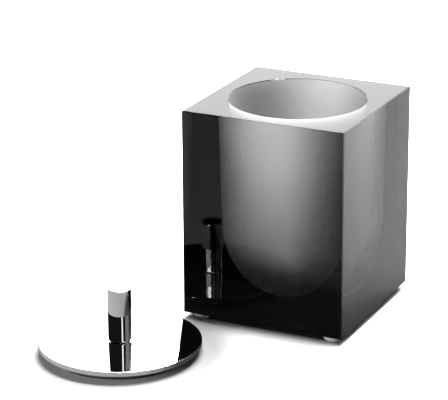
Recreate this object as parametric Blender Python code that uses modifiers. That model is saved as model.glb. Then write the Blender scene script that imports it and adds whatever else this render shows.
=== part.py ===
"""Square ice bucket: one bored block of grey clear acrylic on four soft feet, and a flat round
chrome lid with a bar knob, which stands on the table in front of it.

Metres, +Z up. The origin is the centre of the block's flat underside. The wide front face is -Y.
Each sub-part is its own object. The lid's pieces hang on an empty on the lid's axis.
"""

import math

import bmesh
import bpy
from mathutils import Matrix

# Driving dimensions
CLEARANCE = 0.0003

BLOCK_WIDTH = 0.1651
BLOCK_HEIGHT = 0.2032
BLOCK_CHAMFER = 0.0008

WELL_MOUTH_RADIUS = 0.066
WELL_WALL_FOOT_RADIUS = 0.0626
WELL_FLOOR_Z = 0.014
WELL_CURVE_HEIGHT = 0.07
WELL_MOUTH_CHAMFER = 0.0008

FOOT_HEIGHT = 0.006
FOOT_RADIUS = 0.0095
FOOT_SOLE_RADIUS = 0.0075
FOOT_INSET = 0.014

LID_CENTRE = (-0.0991, -0.1805)
LID_RADIUS = 0.0762
LID_THICKNESS = 0.0045
LID_EDGE_ROUND = 0.0004

RING_THICKNESS = 0.0075
RING_OUTER_RADIUS = 0.0645
RING_INNER_RADIUS = 0.0575

KNOB_RADIUS = 0.0112
KNOB_HEIGHT = 0.0505
KNOB_CHAMFER = 0.0004
KNOB_HOLE_DEPTH = 0.016

WASHER_THICKNESS = 0.0005
WASHER_RADIUS = 0.0095

SCREW_RADIUS = 0.0025
SCREW_HEAD_RADIUS = 0.0048
SCREW_LENGTH = 0.017
SCREW_SOCKET_ACROSS_FLATS = 0.003
SCREW_SOCKET_DEPTH = 0.0016

ROUND_STEPS = 64
SMALL_STEPS = 32
SCREW_STEPS = 16
CURVE_STEPS = 10

# Heights that follow from them
TABLE_Z = -FOOT_HEIGHT
RING_TOP_Z = TABLE_Z + RING_THICKNESS
PLATE_BOTTOM_Z = RING_TOP_Z + CLEARANCE
PLATE_TOP_Z = PLATE_BOTTOM_Z + LID_THICKNESS
WASHER_BOTTOM_Z = PLATE_TOP_Z + CLEARANCE
WASHER_TOP_Z = WASHER_BOTTOM_Z + WASHER_THICKNESS
KNOB_BOTTOM_Z = WASHER_TOP_Z + CLEARANCE
KNOB_TOP_Z = KNOB_BOTTOM_Z + KNOB_HEIGHT
SCREW_HOLE_RADIUS = SCREW_RADIUS + CLEARANCE
SCREW_HEAD_HEIGHT = SCREW_HEAD_RADIUS - SCREW_RADIUS
SCREW_TOP_Z = PLATE_BOTTOM_Z + SCREW_LENGTH


def clear_scene():
    for obj in list(bpy.data.objects):
        bpy.data.objects.remove(obj, do_unlink=True)


def new_collection(name):
    collection = bpy.data.collections.new(name)
    bpy.context.scene.collection.children.link(collection)
    return collection


def material(name, colour, roughness, metallic=0.0, transmission=0.0):
    mat = bpy.data.materials.new(name)
    mat.use_nodes = True
    shader = mat.node_tree.nodes["Principled BSDF"]
    shader.inputs["Base Color"].default_value = (*colour, 1.0)
    shader.inputs["Roughness"].default_value = roughness
    shader.inputs["Metallic"].default_value = metallic
    shader.inputs["Transmission Weight"].default_value = transmission
    return mat


def add_object(name, mesh, collection, mat=None, location=(0.0, 0.0, 0.0), parent=None):
    obj = bpy.data.objects.new(name, mesh)
    collection.objects.link(obj)
    obj.location = location
    obj.parent = parent
    if mat:
        mesh.materials.append(mat)
    return obj


def mesh_from_bmesh(name, bm):
    mesh = bpy.data.meshes.new(name)
    bm.to_mesh(mesh)
    bm.free()
    return mesh


def turned(name, profile, steps, collection, mat=None, location=(0.0, 0.0, 0.0), parent=None):
    """A round piece: profile is (radius, z) points at +X, run so that the outer side goes downwards."""
    bm = bmesh.new()
    points = [bm.verts.new((radius, 0.0, z)) for radius, z in profile]
    for upper, lower in zip(points, points[1:]):
        bm.edges.new((upper, lower))
    if profile[0][0] > 0.0 and profile[-1][0] > 0.0:
        bm.edges.new((points[-1], points[0]))
    obj = add_object(name, mesh_from_bmesh(name, bm), collection, mat, location, parent)
    screw = obj.modifiers.new("Turn", "SCREW")
    screw.axis = "Z"
    screw.steps = steps
    screw.render_steps = steps
    screw.use_merge_vertices = True
    screw.merge_threshold = 0.00005
    screw.use_smooth_shade = True
    normals = obj.modifiers.new("Flat faces stay flat", "WEIGHTED_NORMAL")
    normals.weight = 100
    return obj


def cut(target, cutter):
    cutter.hide_render = True
    cutter.display_type = "WIRE"
    boolean = target.modifiers.new("Cut " + cutter.name, "BOOLEAN")
    boolean.operation = "DIFFERENCE"
    boolean.solver = "EXACT"
    boolean.object = cutter


def rounded_well_profile():
    """The well's cutter: a wall that narrows downwards, then a quarter ellipse to the floor's middle."""
    above = BLOCK_HEIGHT + 0.01
    curve_top = WELL_FLOOR_Z + WELL_CURVE_HEIGHT
    mouth = WELL_MOUTH_RADIUS + WELL_MOUTH_CHAMFER
    profile = [(0.0, above), (mouth, above), (mouth, BLOCK_HEIGHT)]
    profile.append((WELL_MOUTH_RADIUS, BLOCK_HEIGHT - WELL_MOUTH_CHAMFER))
    for step in range(CURVE_STEPS):
        angle = step / CURVE_STEPS * math.pi / 2.0
        radius = WELL_WALL_FOOT_RADIUS * math.cos(angle)
        profile.append((radius, curve_top - WELL_CURVE_HEIGHT * math.sin(angle)))
    profile.append((0.0, WELL_FLOOR_Z))
    return profile


def make_block(parts, cutters):
    smoke = material("smoke_acrylic", (0.13, 0.13, 0.13), 0.05, transmission=0.9)
    bm = bmesh.new()
    bmesh.ops.create_cube(bm, size=1.0)
    bmesh.ops.scale(bm, vec=(BLOCK_WIDTH, BLOCK_WIDTH, BLOCK_HEIGHT), verts=bm.verts)
    bmesh.ops.translate(bm, vec=(0.0, 0.0, BLOCK_HEIGHT / 2.0), verts=bm.verts)
    block = add_object("bucket_block", mesh_from_bmesh("bucket_block", bm), parts, smoke)
    chamfer = block.modifiers.new("Chamfer", "BEVEL")
    chamfer.width = BLOCK_CHAMFER
    chamfer.segments = 1
    cut(block, turned("well_cutter", rounded_well_profile(), ROUND_STEPS, cutters))
    return block


def make_feet(parts):
    clear = material("clear_bumper", (0.75, 0.75, 0.74), 0.15, transmission=0.8)
    top = -CLEARANCE
    waist = top - FOOT_HEIGHT * 0.45
    profile = [(0.0, top), (FOOT_RADIUS, top), (FOOT_RADIUS, waist)]
    for step in range(1, 5):
        angle = step / 4.0 * math.pi / 2.0
        radius = FOOT_SOLE_RADIUS + (FOOT_RADIUS - FOOT_SOLE_RADIUS) * math.cos(angle)
        profile.append((radius, waist - (waist - TABLE_Z) * math.sin(angle)))
    profile.append((0.0, TABLE_Z))
    reach = BLOCK_WIDTH / 2.0 - FOOT_INSET
    for row, y in (("front", -reach), ("rear", reach)):
        for side, x in (("left", -reach), ("right", reach)):
            turned(f"foot_{row}_{side}", profile, SMALL_STEPS, parts, clear, (x, y, 0.0))


def make_lid_axis(parts):
    axis = bpy.data.objects.new("lid_axis", None)
    axis.location = (*LID_CENTRE, 0.0)
    parts.objects.link(axis)
    return axis


def make_plate(parts, chrome, axis):
    """A flat disc with small rounded edges, pierced and countersunk from below for the screw."""
    edge = LID_EDGE_ROUND
    sink_radius = SCREW_HEAD_RADIUS + CLEARANCE
    sink_top = PLATE_BOTTOM_Z + sink_radius - SCREW_HOLE_RADIUS
    profile = [
        (SCREW_HOLE_RADIUS, PLATE_TOP_Z),
        (LID_RADIUS - edge, PLATE_TOP_Z),
        (LID_RADIUS, PLATE_TOP_Z - edge),
        (LID_RADIUS, PLATE_BOTTOM_Z + edge),
        (LID_RADIUS - edge, PLATE_BOTTOM_Z),
        (sink_radius, PLATE_BOTTOM_Z),
        (SCREW_HOLE_RADIUS, sink_top),
    ]
    return turned("lid_plate", profile, ROUND_STEPS, parts, chrome, parent=axis)


def make_knob(parts, chrome, axis):
    """A plain round bar, closed on top, with the screw's blind hole in its lower end."""
    edge = KNOB_CHAMFER
    hole_top = KNOB_BOTTOM_Z + KNOB_HOLE_DEPTH
    profile = [
        (0.0, KNOB_TOP_Z),
        (KNOB_RADIUS - edge, KNOB_TOP_Z),
        (KNOB_RADIUS, KNOB_TOP_Z - edge),
        (KNOB_RADIUS, KNOB_BOTTOM_Z + edge),
        (KNOB_RADIUS - edge, KNOB_BOTTOM_Z),
        (SCREW_HOLE_RADIUS, KNOB_BOTTOM_Z),
        (SCREW_HOLE_RADIUS, hole_top),
        (0.0, hole_top),
    ]
    return turned("lid_knob", profile, SMALL_STEPS, parts, chrome, parent=axis)


def make_washer(parts, axis):
    steel = material("washer_steel", (0.45, 0.45, 0.46), 0.35, metallic=1.0)
    profile = [
        (SCREW_HOLE_RADIUS, WASHER_TOP_Z),
        (WASHER_RADIUS, WASHER_TOP_Z),
        (WASHER_RADIUS, WASHER_BOTTOM_Z),
        (SCREW_HOLE_RADIUS, WASHER_BOTTOM_Z),
    ]
    return turned("knob_washer", profile, SMALL_STEPS, parts, steel, parent=axis)


def make_screw(parts, cutters, axis):
    """A countersunk screw, head down, flush with the plate, with a hexagon socket."""
    steel = material("screw_steel", (0.6, 0.6, 0.61), 0.3, metallic=1.0)
    head_top = PLATE_BOTTOM_Z + SCREW_HEAD_HEIGHT
    tip = SCREW_RADIUS * 0.3
    profile = [
        (0.0, SCREW_TOP_Z),
        (SCREW_RADIUS - tip, SCREW_TOP_Z),
        (SCREW_RADIUS, SCREW_TOP_Z - tip),
        (SCREW_RADIUS, head_top),
        (SCREW_HEAD_RADIUS, PLATE_BOTTOM_Z),
        (0.0, PLATE_BOTTOM_Z),
    ]
    screw = turned("knob_screw", profile, SCREW_STEPS, parts, steel, parent=axis)
    bm = bmesh.new()
    bmesh.ops.create_cone(
        bm,
        cap_ends=True,
        segments=6,
        radius1=SCREW_SOCKET_ACROSS_FLATS / math.sqrt(3.0),
        radius2=SCREW_SOCKET_ACROSS_FLATS / math.sqrt(3.0),
        depth=2.0 * SCREW_SOCKET_DEPTH,
        matrix=Matrix.Translation((0.0, 0.0, PLATE_BOTTOM_Z)),
    )
    socket = add_object("socket_cutter", mesh_from_bmesh("socket_cutter", bm), cutters, parent=axis)
    cut(screw, socket)
    return screw


def make_ring(parts, axis):
    """The soft ring under the plate. It drops into the well's mouth, and the lid stands on it."""
    rubber = material("ring_rubber", (0.06, 0.06, 0.06), 0.6)
    profile = [
        (RING_INNER_RADIUS, RING_TOP_Z),
        (RING_OUTER_RADIUS, RING_TOP_Z),
        (RING_OUTER_RADIUS, TABLE_Z),
        (RING_INNER_RADIUS, TABLE_Z),
    ]
    return turned("lid_ring", profile, ROUND_STEPS, parts, rubber, parent=axis)


def main():
    clear_scene()
    parts = new_collection("ice_bucket")
    cutters = new_collection("cutters")
    make_block(parts, cutters)
    make_feet(parts)
    chrome = material("polished_chrome", (0.78, 0.78, 0.79), 0.04, metallic=1.0)
    axis = make_lid_axis(parts)
    make_plate(parts, chrome, axis)
    make_knob(parts, chrome, axis)
    make_washer(parts, axis)
    make_screw(parts, cutters, axis)
    make_ring(parts, axis)


main()
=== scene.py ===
import math

import bmesh
import bpy
from mathutils import Matrix, Vector


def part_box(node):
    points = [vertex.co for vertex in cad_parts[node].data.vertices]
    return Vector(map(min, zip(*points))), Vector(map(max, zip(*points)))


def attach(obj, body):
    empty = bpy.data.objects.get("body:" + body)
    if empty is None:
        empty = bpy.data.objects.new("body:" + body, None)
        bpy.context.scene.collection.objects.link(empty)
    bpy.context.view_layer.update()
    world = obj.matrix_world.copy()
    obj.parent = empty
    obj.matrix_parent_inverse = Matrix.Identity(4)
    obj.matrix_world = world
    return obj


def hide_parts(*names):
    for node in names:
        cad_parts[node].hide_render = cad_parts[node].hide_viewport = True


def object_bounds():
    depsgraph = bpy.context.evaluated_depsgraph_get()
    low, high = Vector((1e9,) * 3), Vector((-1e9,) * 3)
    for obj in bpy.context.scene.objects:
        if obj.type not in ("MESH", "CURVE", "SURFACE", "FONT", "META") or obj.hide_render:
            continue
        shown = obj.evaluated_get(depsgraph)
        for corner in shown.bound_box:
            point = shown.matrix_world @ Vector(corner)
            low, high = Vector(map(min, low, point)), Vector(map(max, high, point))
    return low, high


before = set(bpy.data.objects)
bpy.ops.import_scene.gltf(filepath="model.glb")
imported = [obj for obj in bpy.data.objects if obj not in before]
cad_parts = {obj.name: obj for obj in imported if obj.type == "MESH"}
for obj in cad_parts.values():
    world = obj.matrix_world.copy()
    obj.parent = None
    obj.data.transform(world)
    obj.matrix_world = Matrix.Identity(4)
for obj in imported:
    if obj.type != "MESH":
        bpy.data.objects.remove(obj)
cad_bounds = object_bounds()
TABLE_Z = cad_bounds[0][2]

# ---------------------------------------------------------------- sizes, in metres
# The boxes of the CAD nodes give where things are; these add what a box doesn't say.
BLOCK_CHAMFER = 0.0008
WELL_MOUTH_RADIUS = 0.066
WELL_MOUTH_CHAMFER = 0.0006
WELL_WALL_FOOT_RADIUS = 0.0626
WELL_CURVE_HEIGHT = 0.07
WELL_FLOOR_Z = 0.014
WELL_CUT_ABOVE_RIM = 0.01
FOOT_EDGE = 0.0005
FOOT_SOLE_RADIUS = 0.0075
FOOT_WAIST_DEPTH = 0.45  # of the foot's height, down from its top
PLATE_EDGE = 0.0004
KNOB_EDGE = 0.0004
SCREW_HOLE_RADIUS = 0.0028
COUNTERSINK_RADIUS = 0.0051
KNOB_HOLE_DEPTH = 0.016

# ---------------------------------------------------------------- fineness of round shapes
WELL_STEPS = 256
WELL_CURVE_STEPS = 48
WELL_CURVE_END = -89.0  # degrees; one flat disc closes the middle of the floor
PLATE_STEPS = 256
KNOB_STEPS = 128
EDGE_STEPS = 5
FOOT_STEPS = 96
FOOT_EDGE_STEPS = 6
FOOT_SIDE_STEPS = 12
SMOOTH_ANGLE = math.radians(30.0)

# ---------------------------------------------------------------- camera
CAMERA_AZIMUTH = math.radians(25.948)
CAMERA_ELEVATION = math.radians(19.587)
CAMERA_ROLL = math.radians(-0.33)
CAMERA_DISTANCE = 2.1895
CAMERA_AIM = (-0.0776, -0.0023, 0.0895)
CAMERA_LENS = 179.22
CAMERA_SENSOR = 36.0
CAMERA_CLIP_END = 50.0

# ---------------------------------------------------------------- shape helpers


def turned_mesh(name, profile, steps):
    """A closed mesh turned about Z from (radius, z) points that run down the outer side."""
    bm = bmesh.new()
    rings = []
    for radius, z in profile:
        if radius < 1e-7:
            rings.append([bm.verts.new((0.0, 0.0, z))])
            continue
        ring = []
        for step in range(steps):
            angle = 2.0 * math.pi * step / steps
            ring.append(bm.verts.new((radius * math.cos(angle), radius * math.sin(angle), z)))
        rings.append(ring)
    pairs = list(zip(rings, rings[1:]))
    has_hole = len(rings[0]) > 1 and len(rings[-1]) > 1
    if has_hole:
        pairs.append((rings[-1], rings[0]))
    for upper, lower in pairs:
        join_rings(bm, upper, lower, steps)
    bmesh.ops.recalc_face_normals(bm, faces=bm.faces)
    return finished(bm, name)


def join_rings(bm, upper, lower, steps):
    """Faces between two rings of points, either of which may be a single point on the axis."""
    for step in range(steps):
        after = (step + 1) % steps
        corners = []
        for ring in (upper, lower):
            if len(ring) == 1:
                corners.append([ring[0]])
            else:
                corners.append([ring[step], ring[after]])
        face = corners[0] + corners[1][::-1]
        if len(face) > 2:
            bm.faces.new(face)


def finished(bm, name):
    mesh = bpy.data.meshes.new(name)
    bm.to_mesh(mesh)
    bm.free()
    return mesh


def arc(centre, radii, start, end, steps):
    """Points of an elliptical arc in the (radius, z) plane, angles in degrees."""
    points = []
    for step in range(steps + 1):
        angle = math.radians(start + (end - start) * step / steps)
        points.append((centre[0] + radii[0] * math.cos(angle), centre[1] + radii[1] * math.sin(angle)))
    return points


def rounded_side(radius, low_z, high_z, edge):
    """The outer side of a round bar or plate, with both edges rounded."""
    flat = radius - edge
    upper = arc((flat, high_z - edge), (edge, edge), 90.0, 0.0, EDGE_STEPS)
    lower = arc((flat, low_z + edge), (edge, edge), 0.0, -90.0, EDGE_STEPS)
    return upper + lower


def smooth(mesh):
    mesh.shade_smooth()
    mesh.set_sharp_from_angle(angle=SMOOTH_ANGLE)


def add_object(name, data):
    obj = bpy.data.objects.new(name, data)
    bpy.context.scene.collection.objects.link(obj)
    return obj


def add_piece(name, mesh, body, material, node):
    """A visible piece that stands for one CAD node."""
    obj = add_object(name, mesh)
    mesh.materials.clear()
    mesh.materials.append(material)
    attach(obj, body)
    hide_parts(node)
    return obj


def add_turned_piece(name, profile, steps, body, material, node):
    """A turned piece, placed on the axis of the CAD node that it stands for."""
    mesh = turned_mesh(name, profile, steps)
    smooth(mesh)
    centre = centre_of(node)
    obj = add_piece(name, mesh, body, material, node)
    obj.location = (centre.x, centre.y, 0.0)


def centre_of(node):
    low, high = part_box(node)
    return (low + high) / 2.0


def radius_of(node):
    low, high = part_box(node)
    return (high.x - low.x) / 2.0


# ---------------------------------------------------------------- node helpers


def new_material(name):
    material = bpy.data.materials.new(name)
    material.use_nodes = True
    return material, material.node_tree.nodes, material.node_tree.links


def object_noise(nodes, links, scale, stretch=(1.0, 1.0, 1.0)):
    """A noise texture in the piece's own coordinates, as a socket from 0 to 1."""
    coordinates = nodes.new("ShaderNodeTexCoord")
    mapping = nodes.new("ShaderNodeMapping")
    mapping.inputs["Scale"].default_value = stretch
    links.new(coordinates.outputs["Object"], mapping.inputs["Vector"])
    noise = nodes.new("ShaderNodeTexNoise")
    noise.inputs["Scale"].default_value = scale
    noise.inputs["Detail"].default_value = 3.0
    links.new(mapping.outputs["Vector"], noise.inputs["Vector"])
    return noise.outputs["Fac"]


def multiplied(nodes, links, first, second):
    product = nodes.new("ShaderNodeMath")
    product.operation = "MULTIPLY"
    links.new(first, product.inputs[0])
    links.new(second, product.inputs[1])
    return product.outputs["Value"]


def remap(nodes, links, value, low, high):
    """A value from 0 to 1, stretched to run from low to high."""
    ramp = nodes.new("ShaderNodeMapRange")
    ramp.inputs["To Min"].default_value = low
    ramp.inputs["To Max"].default_value = high
    links.new(value, ramp.inputs["Value"])
    return ramp.outputs["Result"]


def smooth_ramp(nodes, links, value, span, results):
    """The first result before the span, the second after it, and a smooth change between."""
    ramp = nodes.new("ShaderNodeMapRange")
    ramp.interpolation_type = "SMOOTHSTEP"
    ramp.inputs["From Min"].default_value, ramp.inputs["From Max"].default_value = span
    ramp.inputs["To Min"].default_value, ramp.inputs["To Max"].default_value = results
    links.new(value, ramp.inputs["Value"])
    return ramp.outputs["Result"]


def along(nodes, links, direction):
    """How far a point lies along that direction, in the piece's own coordinates."""
    coordinates = nodes.new("ShaderNodeTexCoord")
    dot = nodes.new("ShaderNodeVectorMath")
    dot.operation = "DOT_PRODUCT"
    dot.inputs[1].default_value = direction
    links.new(coordinates.outputs["Object"], dot.inputs[0])
    return dot.outputs["Value"]


def away_from(nodes, links, centre, stretch=(1.0, 1.0, 1.0)):
    """How far a point lies from that centre, each axis measured in units of its stretch."""
    coordinates = nodes.new("ShaderNodeTexCoord")
    centred = nodes.new("ShaderNodeMapping")
    centred.vector_type = "TEXTURE"
    centred.inputs["Location"].default_value = centre
    centred.inputs["Scale"].default_value = stretch
    links.new(coordinates.outputs["Object"], centred.inputs["Vector"])
    length = nodes.new("ShaderNodeVectorMath")
    length.operation = "LENGTH"
    links.new(centred.outputs["Vector"], length.inputs[0])
    return length.outputs["Value"]


def out_of_square(nodes, links, half):
    """How far a point lies outside a square of that half width about the origin."""
    coordinates = nodes.new("ShaderNodeTexCoord")
    absolute = nodes.new("ShaderNodeVectorMath")
    absolute.operation = "ABSOLUTE"
    links.new(coordinates.outputs["Object"], absolute.inputs[0])
    split = nodes.new("ShaderNodeSeparateXYZ")
    links.new(absolute.outputs["Vector"], split.inputs["Vector"])
    larger = nodes.new("ShaderNodeMath")
    larger.operation = "MAXIMUM"
    links.new(split.outputs["X"], larger.inputs[0])
    links.new(split.outputs["Y"], larger.inputs[1])
    outside = nodes.new("ShaderNodeMath")
    outside.operation = "SUBTRACT"
    links.new(larger.outputs["Value"], outside.inputs[0])
    outside.inputs[1].default_value = half
    return outside.outputs["Value"]


def bump(nodes, links, height, strength):
    node = nodes.new("ShaderNodeBump")
    node.inputs["Strength"].default_value = strength
    node.inputs["Distance"].default_value = GRAIN_DEPTH
    links.new(height, node.inputs["Height"])
    return node.outputs["Normal"]


def mixed_shaders(nodes, links, share, first, second):
    """Two shaders, with that share of the second; the share is a socket or a number."""
    mix = nodes.new("ShaderNodeMixShader")
    if isinstance(share, float):
        mix.inputs["Fac"].default_value = share
    else:
        links.new(share, mix.inputs["Fac"])
    links.new(first, mix.inputs[1])
    links.new(second, mix.inputs[2])
    return mix.outputs["Shader"]


def seen_and_otherwise(nodes, links, seen, otherwise):
    """One shader for what the camera sees directly, another for reflections and lighting."""
    path = nodes.new("ShaderNodeLightPath")
    return mixed_shaders(nodes, links, path.outputs["Is Camera Ray"], otherwise, seen)


# ---------------------------------------------------------------- materials

FROST_ATTRIBUTE = "frost"
ACRYLIC_IOR = 1.49
SMOKE_DENSITY = 41.0
SMOKE_COLOUR = (0.02, 0.01, 0.0, 1.0)
POLISHED_ROUGHNESS = (0.0, 0.02)
FROSTED_ROUGHNESS = (0.5, 0.65)
# Painted shade: over these heights the frosted wall's colour darkens towards the well's rounded bottom,
# where less light reaches.
FROST_SHADE_SPAN = (0.03, 0.085)  # heights above the block's underside
FROST_SHADE = (0.35, 1.0)
MILK_COLOUR = (0.9, 0.9, 0.9, 1.0)
MILK_SHARE = (0.31, 0.41)
MILK_SPAN = (0.045, 0.1)  # heights above the block's underside
MILK_BACK_SCATTER = 0.45
BUMPER_COLOUR = (0.95, 0.95, 0.93, 1.0)
BUMPER_IOR = 1.48
BUMPER_TRANSMISSION = 0.6
GRAIN_DEPTH = 0.00005


def smoke_acrylic():
    """Clear grey acrylic: polished outside, sand-blasted where the frost attribute is 1."""
    material, nodes, links = new_material("smoke_acrylic")
    frost = nodes.new("ShaderNodeAttribute")
    frost.attribute_name = FROST_ATTRIBUTE
    height = along(nodes, links, (0.0, 0.0, 1.0))
    clear = clear_acrylic(nodes, links, frost.outputs["Fac"], height)
    scatter = remap(nodes, links, object_noise(nodes, links, 250.0), *MILK_SHARE)
    by_height = smooth_ramp(nodes, links, height, MILK_SPAN, (0.0, 1.0))
    share = multiplied(nodes, links, scatter, by_height)
    share = multiplied(nodes, links, frost.outputs["Fac"], share)
    surface = mixed_shaders(nodes, links, share, clear, frost_milk(nodes, links))
    output = nodes["Material Output"]
    links.new(surface, output.inputs["Surface"])
    volume = nodes.new("ShaderNodeVolumeAbsorption")
    volume.inputs["Color"].default_value = SMOKE_COLOUR
    volume.inputs["Density"].default_value = SMOKE_DENSITY
    links.new(volume.outputs["Volume"], output.inputs["Volume"])
    return material


def clear_acrylic(nodes, links, frost, height):
    """The glassy part, rough where it is frosted, with painted shade that darkens the frost towards the
    well's bottom.
    """
    shader = nodes["Principled BSDF"]
    shader.distribution = "GGX"
    shader.inputs["IOR"].default_value = ACRYLIC_IOR
    shader.inputs["Transmission Weight"].default_value = 1.0
    roughness = nodes.new("ShaderNodeMix")
    polished = remap(nodes, links, object_noise(nodes, links, 90.0), *POLISHED_ROUGHNESS)
    frosted = remap(nodes, links, object_noise(nodes, links, 400.0), *FROSTED_ROUGHNESS)
    links.new(frost, roughness.inputs["Factor"])
    links.new(polished, roughness.inputs["A"])
    links.new(frosted, roughness.inputs["B"])
    links.new(roughness.outputs["Result"], shader.inputs["Roughness"])
    # Painted shade: the frost's colour darkens towards the well's bottom.
    painted_bottom_shade = nodes.new("ShaderNodeMix")
    links.new(frost, painted_bottom_shade.inputs["Factor"])
    painted_bottom_shade.inputs["A"].default_value = 1.0
    links.new(smooth_ramp(nodes, links, height, FROST_SHADE_SPAN, FROST_SHADE), painted_bottom_shade.inputs["B"])
    links.new(painted_bottom_shade.outputs["Result"], shader.inputs["Base Color"])
    return shader.outputs["BSDF"]


def frost_milk(nodes, links):
    """The white scatter of the blasted surface, forwards and back."""
    forwards = nodes.new("ShaderNodeBsdfTranslucent")
    forwards.inputs["Color"].default_value = MILK_COLOUR
    back = nodes.new("ShaderNodeBsdfDiffuse")
    back.inputs["Color"].default_value = MILK_COLOUR
    return mixed_shaders(nodes, links, MILK_BACK_SCATTER, forwards.outputs["BSDF"], back.outputs["BSDF"])


def clear_bumper():
    """Clear soft plastic, a little cloudy, with a varying haze."""
    material, nodes, links = new_material("clear_bumper")
    shader = nodes["Principled BSDF"]
    shader.inputs["Base Color"].default_value = BUMPER_COLOUR
    shader.inputs["IOR"].default_value = BUMPER_IOR
    shader.inputs["Transmission Weight"].default_value = BUMPER_TRANSMISSION
    haze = object_noise(nodes, links, 500.0)
    links.new(remap(nodes, links, haze, 0.05, 0.16), shader.inputs["Roughness"])
    return material


def bright_metal(name, grey):
    material, nodes, links = new_material(name)
    shader = nodes["Principled BSDF"]
    shader.inputs["Base Color"].default_value = (grey, grey, grey, 1.0)
    shader.inputs["Metallic"].default_value = 1.0
    return material, nodes, links, shader


def chrome():
    """Mirror chrome with a breath of haze that varies over the surface."""
    material, nodes, links, shader = bright_metal("lid_chrome", 0.9)
    haze = object_noise(nodes, links, 60.0)
    links.new(remap(nodes, links, haze, 0.0, 0.02), shader.inputs["Roughness"])
    return material


def steel(name, grey, low, high):
    """Machined steel with a fine grain."""
    material, nodes, links, shader = bright_metal(name, grey)
    grain = object_noise(nodes, links, 900.0, stretch=(1.0, 1.0, 6.0))
    links.new(remap(nodes, links, grain, low, high), shader.inputs["Roughness"])
    links.new(bump(nodes, links, grain, 0.2), shader.inputs["Normal"])
    return material


def soft_rubber():
    """Matt black rubber with a fine grain."""
    material, nodes, links = new_material("ring_rubber")
    shader = nodes["Principled BSDF"]
    shader.inputs["Base Color"].default_value = (0.03, 0.03, 0.03, 1.0)
    grain = object_noise(nodes, links, 1500.0)
    links.new(remap(nodes, links, grain, 0.5, 0.7), shader.inputs["Roughness"])
    links.new(bump(nodes, links, grain, 0.3), shader.inputs["Normal"])
    return material


# ---------------------------------------------------------------- the bucket


def well_profile(top):
    """Profile of the space inside the well, from above the rim to the middle of the floor."""
    curve_top = WELL_FLOOR_Z + WELL_CURVE_HEIGHT
    above = top + WELL_CUT_ABOVE_RIM
    mouth = WELL_MOUTH_RADIUS + WELL_MOUTH_CHAMFER
    points = [(0.0, above), (mouth, above), (mouth, top)]
    points.append((WELL_MOUTH_RADIUS, top - WELL_MOUTH_CHAMFER))
    curve = (WELL_WALL_FOOT_RADIUS, WELL_CURVE_HEIGHT)
    points += arc((0.0, curve_top), curve, 0.0, WELL_CURVE_END, WELL_CURVE_STEPS)
    points.append((0.0, WELL_FLOOR_Z))
    return points


def chamfered_block(low, high):
    bm = bmesh.new()
    bmesh.ops.create_cube(bm, size=1.0)
    bmesh.ops.scale(bm, vec=high - low, verts=bm.verts)
    bmesh.ops.translate(bm, vec=(low + high) / 2.0, verts=bm.verts)
    bmesh.ops.bevel(bm, geom=bm.edges[:], offset=BLOCK_CHAMFER, segments=1, affect="EDGES")
    return finished(bm, "block_outside")


def cut_out(solid_mesh, space_mesh, name):
    """A new mesh: the solid without the space."""
    solid = add_object("solid", solid_mesh)
    space = add_object("space", space_mesh)
    boolean = solid.modifiers.new("Cut", "BOOLEAN")
    boolean.object = space
    boolean.solver = "EXACT"
    evaluated = solid.evaluated_get(bpy.context.evaluated_depsgraph_get())
    mesh = bpy.data.meshes.new_from_object(evaluated)
    mesh.name = name
    for obj in (solid, space):
        bpy.data.objects.remove(obj)
    return mesh


def make_block(material):
    low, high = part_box("bucket_block")
    space = turned_mesh("well_space", well_profile(high.z), WELL_STEPS)
    mesh = cut_out(chamfered_block(low, high), space, "acrylic_block")
    smooth(mesh)
    mark_frost(mesh, high.z)
    add_piece("acrylic_block", mesh, "bucket", material, "bucket_block")


def mark_frost(mesh, top):
    """The frost attribute is 1 on the faces of the well below its polished mouth, 0 elsewhere."""
    frost = mesh.attributes.new(FROST_ATTRIBUTE, "FLOAT", "FACE")
    for polygon, value in zip(mesh.polygons, frost.data):
        centre = polygon.center
        inside = math.hypot(centre.x, centre.y) < WELL_MOUTH_RADIUS
        below_mouth = centre.z < top - WELL_MOUTH_CHAMFER
        above_base = centre.z > WELL_FLOOR_Z / 2.0
        value.value = 1.0 if inside and below_mouth and above_base else 0.0


def foot_profile(node):
    """A flat top with a rounded edge, over a side that curves in to the sole."""
    low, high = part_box(node)
    radius = radius_of(node)
    waist = high.z - (high.z - low.z) * FOOT_WAIST_DEPTH
    edge = FOOT_EDGE
    profile = [(0.0, high.z)]
    profile += arc((radius - edge, high.z - edge), (edge, edge), 90.0, 0.0, FOOT_EDGE_STEPS)
    side = (radius - FOOT_SOLE_RADIUS, waist - low.z)
    profile += arc((FOOT_SOLE_RADIUS, waist), side, 0.0, -90.0, FOOT_SIDE_STEPS)
    profile.append((0.0, low.z))
    return profile


def make_feet(material):
    for node in sorted(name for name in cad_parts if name.startswith("foot_")):
        name = node.replace("foot_", "bumper_")
        add_turned_piece(name, foot_profile(node), FOOT_STEPS, "bucket", material, node)


# ---------------------------------------------------------------- the lid


def make_plate(material):
    low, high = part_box("lid_plate")
    profile = [(SCREW_HOLE_RADIUS, high.z)]
    profile += rounded_side(radius_of("lid_plate"), low.z, high.z, PLATE_EDGE)
    profile.append((COUNTERSINK_RADIUS, low.z))
    profile.append((SCREW_HOLE_RADIUS, low.z + COUNTERSINK_RADIUS - SCREW_HOLE_RADIUS))
    add_turned_piece("chrome_plate", profile, PLATE_STEPS, "lid", material, "lid_plate")


def make_knob(material):
    low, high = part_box("lid_knob")
    hole_top = low.z + KNOB_HOLE_DEPTH
    profile = [(0.0, high.z)]
    profile += rounded_side(radius_of("lid_knob"), low.z, high.z, KNOB_EDGE)
    profile += [(SCREW_HOLE_RADIUS, low.z), (SCREW_HOLE_RADIUS, hole_top), (0.0, hole_top)]
    add_turned_piece("chrome_knob", profile, KNOB_STEPS, "lid", material, "lid_knob")


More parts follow.
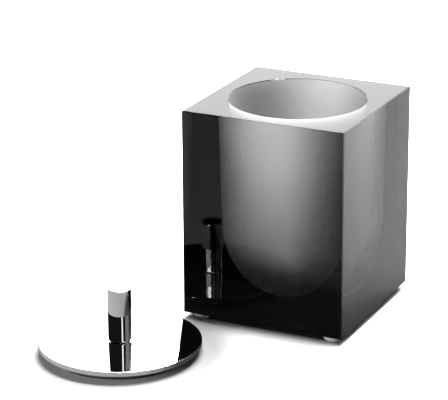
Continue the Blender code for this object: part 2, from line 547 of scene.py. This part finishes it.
def finish_kept_nodes():
    """Materials of the CAD nodes that stay as they are."""
    kept = {
        "knob_washer": steel("washer_steel", 0.3, 0.3, 0.45),
        "knob_screw": steel("screw_steel", 0.55, 0.2, 0.35),
        "lid_ring": soft_rubber(),
    }
    for node, material in kept.items():
        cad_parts[node].data.materials.clear()
        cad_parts[node].data.materials.append(material)


# ---------------------------------------------------------------- studio

FLOOR_HALF_WIDTH = 9.0
FLOOR_WHITE = 0.9
# Painted shade: the floor the camera sees is darker round the lid, so the lid's shadow shows softly.
FLOOR_LID_SHADE = 0.34
# Painted shadow: the floor the camera sees is darkened close under the block's sides.
FLOOR_CONTACT_SHADOW = 0.02  # of what it is elsewhere
CONTACT_SHADOW_SPAN = (-0.009, 0.003)  # from the block's sides, outwards
LID_SHADE_SPAN = (0.085, 0.13)  # from the lid's axis
SELF_LIT_SPAN = (0.5, 1.1)  # from the block's axis
# Painted light: the floor as reflections see it is lighter towards the back, where the lamps are.
MIRRORED_DIRECTION = (0.6, 0.8, 0.0)
MIRRORED_SPAN = (-0.1, 0.25)
MIRRORED_PAINTED_LIGHT = (0.106, 0.19)
# Painted shadow: a dark patch on the mirrored floor in front of the block.
SHADOW_SPOT_CENTRE = (-0.01, -0.13, TABLE_Z)
SHADOW_SPOT_STRETCH = (1.5, 1.0, 1.0)
SHADOW_SPOT_SPAN = (0.06, 0.12)
SHADOW_SPOT_SHADE = (0.2, 1.0)
WORLD_DARK = (0.008, 0.008, 0.008, 1.0)
WORLD_WHITE = (1.0, 1.0, 1.0, 1.0)


def around(azimuth, distance, height):
    """A point at that azimuth, in degrees from -Y towards +X, distance and height."""
    angle = math.radians(azimuth)
    return (math.sin(angle) * distance, -math.cos(angle) * distance, height)


# Each softbox: where it is, what it faces, width and height, radiance.
MIDDLE = (0.0, 0.0, 0.1)
SOFTBOXES = {
    "overhead": ((0.0, 0.37, 1.2), (0.0, 0.37, 0.0), (0.9, 0.9), 18.0),
    "top_front": ((0.0, -0.015, 1.2), (0.0, -0.015, 0.0), (0.9, 0.13), 50.0),
    "rear": ((-0.25, 1.0, 0.95), MIDDLE, (1.0, 0.7), 24.0),
    "backdrop": (around(191.0, 1.75, 0.85), (0.0, 0.0, 0.25), (3.0, 1.3), 2.9),
    "strip": (around(44.0, 1.5, 0.75), MIDDLE, (0.31, 1.2), 1.2),
    "low_fill": (around(335.0, 1.5, 0.3), (-0.1, -0.2, 0.0), (1.0, 0.5), 18.0),
    "right_card": (around(100.0, 1.8, 0.8), MIDDLE, (1.6, 1.2), 0.18),
}
MATT_ONLY = ("low_fill",)


def make_lights():
    """Softboxes that the camera doesn't see; those in MATT_ONLY light only matt surfaces."""
    for name, (place, target, size, radiance) in SOFTBOXES.items():
        light = bpy.data.lights.new(name, "AREA")
        light.shape = "RECTANGLE"
        light.size, light.size_y = size
        light.energy = radiance * math.pi * size[0] * size[1]
        softbox = add_object(name, light)
        softbox.location = place
        facing = Vector(target) - Vector(place)
        softbox.rotation_euler = facing.to_track_quat("-Z", "Y").to_euler()
        softbox.visible_camera = False
        softbox.visible_glossy = name not in MATT_ONLY
        softbox.visible_transmission = name not in MATT_ONLY


def floor_seen(nodes, links):
    """White, with a painted contact shadow close under the block, painted shade round the lid, and
    self-lit far away.
    """
    # Painted contact shadow close under the block's sides.
    outside = out_of_square(nodes, links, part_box("bucket_block")[1].x)
    painted_contact_shadow = smooth_ramp(nodes, links, outside, CONTACT_SHADOW_SPAN, (FLOOR_CONTACT_SHADOW, 1.0))
    lid = centre_of("lid_plate")
    from_lid = away_from(nodes, links, (lid.x, lid.y, TABLE_Z))
    # Painted shade round the lid.
    white = smooth_ramp(nodes, links, from_lid, LID_SHADE_SPAN, (FLOOR_LID_SHADE, FLOOR_WHITE))
    matt = nodes.new("ShaderNodeBsdfDiffuse")
    links.new(multiplied(nodes, links, painted_contact_shadow, white), matt.inputs["Color"])
    far = away_from(nodes, links, (0.0, 0.0, 0.0))
    glow = nodes.new("ShaderNodeEmission")
    links.new(smooth_ramp(nodes, links, far, SELF_LIT_SPAN, (0.0, 1.0)), glow.inputs["Strength"])
    both = nodes.new("ShaderNodeAddShader")
    links.new(matt.outputs["BSDF"], both.inputs[0])
    links.new(glow.outputs["Emission"], both.inputs[1])
    return both.outputs["Shader"]


def floor_mirrored(nodes, links):
    """Grey with painted light, lighter towards the back, and a painted shadow of the block in front of
    it.
    """
    back = along(nodes, links, MIRRORED_DIRECTION)
    # Painted light, lighter towards the back.
    painted_falloff = smooth_ramp(nodes, links, back, MIRRORED_SPAN, MIRRORED_PAINTED_LIGHT)
    # Painted shadow of the block, on the floor in front of it.
    away = away_from(nodes, links, SHADOW_SPOT_CENTRE, SHADOW_SPOT_STRETCH)
    painted_shadow_spot = smooth_ramp(nodes, links, away, SHADOW_SPOT_SPAN, SHADOW_SPOT_SHADE)
    matt = nodes.new("ShaderNodeBsdfDiffuse")
    links.new(multiplied(nodes, links, painted_falloff, painted_shadow_spot), matt.inputs["Color"])
    return matt.outputs["BSDF"]


def white_sweep():
    """A matt floor, white to the camera with painted shade by the block and lid, and grey with painted
    light and shade in what the object mirrors of it.
    """
    material, nodes, links = new_material("white_sweep")
    material.cycles.emission_sampling = "NONE"
    nodes.remove(nodes["Principled BSDF"])
    surface = seen_and_otherwise(nodes, links, floor_seen(nodes, links), floor_mirrored(nodes, links))
    links.new(surface, nodes["Material Output"].inputs["Surface"])
    return material


def make_floor():
    bm = bmesh.new()
    bmesh.ops.create_grid(bm, x_segments=8, y_segments=8, size=FLOOR_HALF_WIDTH)
    bmesh.ops.translate(bm, vec=(0.0, 0.0, TABLE_Z), verts=bm.verts)
    floor = add_object("floor", finished(bm, "floor"))
    floor.data.materials.append(white_sweep())


def make_world():
    """White to the camera, nearly black to everything else: the softboxes do the lighting."""
    world = bpy.data.worlds.new("studio")
    bpy.context.scene.world = world
    world.use_nodes = True
    nodes, links = world.node_tree.nodes, world.node_tree.links
    dark = nodes["Background"]
    dark.inputs["Color"].default_value = WORLD_DARK
    white = nodes.new("ShaderNodeBackground")
    white.inputs["Color"].default_value = WORLD_WHITE
    surface = seen_and_otherwise(
        nodes, links, white.outputs["Background"], dark.outputs["Background"]
    )
    links.new(surface, nodes["World Output"].inputs["Surface"])


def make_camera():
    level_part = math.cos(CAMERA_ELEVATION)
    back = Vector(around(math.degrees(CAMERA_AZIMUTH), level_part, math.sin(CAMERA_ELEVATION)))
    level = Vector((math.cos(CAMERA_AZIMUTH), math.sin(CAMERA_AZIMUTH), 0.0))
    axes = Matrix((level, back.cross(level), back)).transposed().to_4x4()
    data = bpy.data.cameras.new("camera")
    data.lens = CAMERA_LENS
    data.sensor_width = CAMERA_SENSOR
    data.sensor_fit = "HORIZONTAL"
    data.clip_end = CAMERA_CLIP_END
    camera = add_object("camera", data)
    place = Matrix.Translation(Vector(CAMERA_AIM) + back * CAMERA_DISTANCE)
    camera.matrix_world = place @ axes @ Matrix.Rotation(CAMERA_ROLL, 4, "Z")
    bpy.context.scene.camera = camera


# ---------------------------------------------------------------- assembly

make_camera()
make_floor()
make_world()
make_lights()

make_block(smoke_acrylic())
make_feet(clear_bumper())
lid_chrome = chrome()
make_plate(lid_chrome)
make_knob(lid_chrome)
finish_kept_nodes()

bpy.context.scene.view_settings.view_transform = "Standard"
